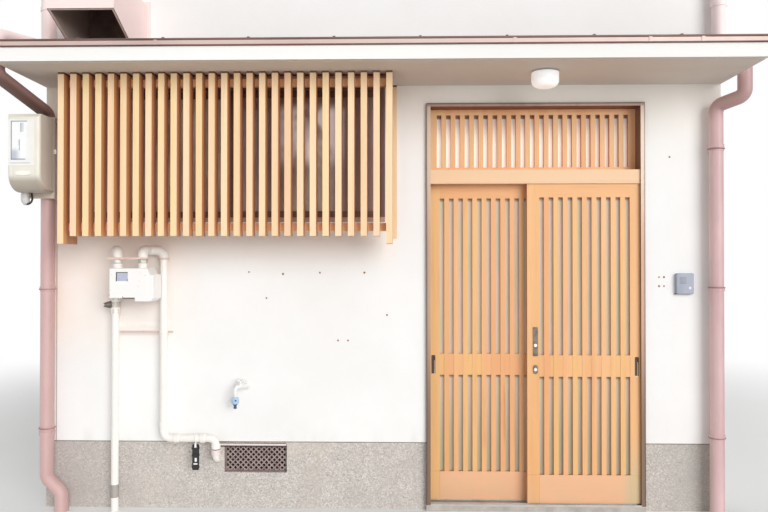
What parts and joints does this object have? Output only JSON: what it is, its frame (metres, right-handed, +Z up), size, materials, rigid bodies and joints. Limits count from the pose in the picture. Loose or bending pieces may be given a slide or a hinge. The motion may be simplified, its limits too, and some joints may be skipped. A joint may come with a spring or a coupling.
{
  "type": "machiya townhouse",
  "caption": "Two-storey row house: white street wall on a pebbled plinth, flat canopy, hanging slat lattice, latticed sliding doors, tiled gable roof",
  "frame": {"origin": "on the ground, at the middle of the overall width and depth", "axes": "+X to the right as seen from the street, +Y into the house, +Z up"},
  "size_m": [4.05, 6.81, 6.9775],
  "materials": {
    "white_plaster": "painted render",
    "pebble_plinth": "washed pebble render",
    "concrete": "trowelled concrete",
    "floor_wood": "planed boards",
    "canopy_board": "painted board",
    "brown_sheet": "coated sheet",
    "roof_wood": "stained boards",
    "roof_tile": "smoked clay tile",
    "mauve_plastic": "weathered plastic",
    "bronze_aluminium": "bronze anodised",
    "plain_aluminium": "mill finish",
    "brown_aluminium": "dark brown anodised",
    "cypress": "oiled cypress",
    "clear_glass": "float glass",
    "frosted_glass": "frosted glass",
    "cast_grille": "painted casting",
    "pale_enamel": "baked enamel",
    "opal_cover": "opal cover",
    "white_enamel": "enamel paint",
    "white_pipe": "coated steel",
    "tap_metal": "worn chrome",
    "grey_plastic": "moulded plastic",
    "board_plastic": "moulded board",
    "ivory_plastic": "moulded plastic",
    "dark_metal": "bronze lacquer"
  },
  "bodies": {
    "house": {"front_plinth": "pebble_plinth", "front_wall_low": "white_plaster", "front_wall_piers": "white_plaster", "front_wall_right": "white_plaster", "front_wall_over_door": "white_plaster", "upper_wall_bands": "white_plaster", "upper_wall_piers": "white_plaster", "back_wall_bands": "white_plaster", "back_wall_piers": "white_plaster", "party_wall_left": "white_plaster", "party_wall_right": "white_plaster", "ground_floor": "concrete", "upper_floor": "floor_wood", "canopy_slab": "canopy_board", "canopy_roofing": "brown_sheet", "roof_deck": "roof_wood", "roof_tiles": "roof_tile", "roof_ridge": "roof_tile", "gutters": "mauve_plastic", "downpipe_left": "mauve_plastic", "downpipe_right": "mauve_plastic", "door_frame": "bronze_aluminium", "transom_lattice": "cypress", "transom_bar": "cypress", "door_sill": "plain_aluminium", "window_frames": "brown_aluminium", "window_sashes": "brown_aluminium", "window_glass": "clear_glass", "lattice_slats": "cypress", "lattice_rails": "cypress", "lattice_end_boards": "cypress", "vent_grille": "cast_grille", "exhaust_hood": "pale_enamel", "ceiling_light": "opal_cover", "gas_meter": "white_enamel", "gas_pipes": "white_pipe", "water_tap": "tap_metal", "intercom": "grey_plastic", "meter_board": "board_plastic", "electric_meter": "ivory_plastic"},
    "left_leaf_body": {"left_leaf": "cypress", "left_leaf_glass": "frosted_glass"},
    "right_leaf_body": {"right_leaf": "cypress", "right_leaf_glass": "frosted_glass", "door_lock": "dark_metal"}
  },
  "joints": [
    {"name": "left_leaf_slide", "type": "slide", "parent": "house", "child": "left_leaf_body", "axis": [1, 0, 0], "range_m": [0, 0.56]},
    {"name": "right_leaf_slide", "type": "slide", "parent": "house", "child": "right_leaf_body", "axis": [-1, 0, 0], "range_m": [0, 0.56]}
  ]
}
